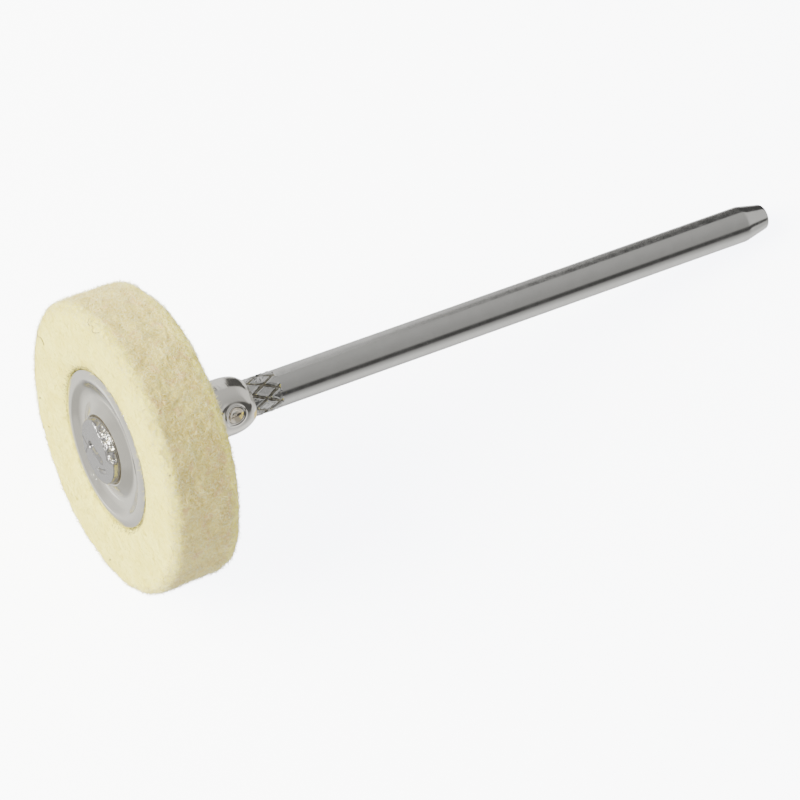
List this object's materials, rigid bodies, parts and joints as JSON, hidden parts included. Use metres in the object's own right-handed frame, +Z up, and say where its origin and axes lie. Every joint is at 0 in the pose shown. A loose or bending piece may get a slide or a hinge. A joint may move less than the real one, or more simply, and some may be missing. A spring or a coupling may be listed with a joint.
{
  "type": "felt polishing wheel",
  "caption": "Small felt polishing disc held between two dished metal washers on a crimped hub sleeve, mounted on a straight steel mandrel for a rotary handpiece.",
  "frame": {"origin": "centre of the flat end face of the shank, where it butts against the stop in a handpiece's collet", "axes": "+Y along the spin axis, from the felt wheel towards the end of the shank; the wheel's working face looks towards -Y; +Z up"},
  "size_m": [0.0184, 0.0484, 0.0184],
  "materials": {
    "felt": "dense cream wool felt, fuzzy, cut rim darker than the faces",
    "nickel_plate": "polished nickel plate on brass",
    "shank_steel": "centreless-ground steel, satin to bright"
  },
  "bodies": {
    "root": {"felt_wheel": "felt", "front_washer": "nickel_plate", "rear_washer": "nickel_plate", "hub_sleeve": "nickel_plate", "mandrel": "shank_steel"}
  },
  "joints": []
}
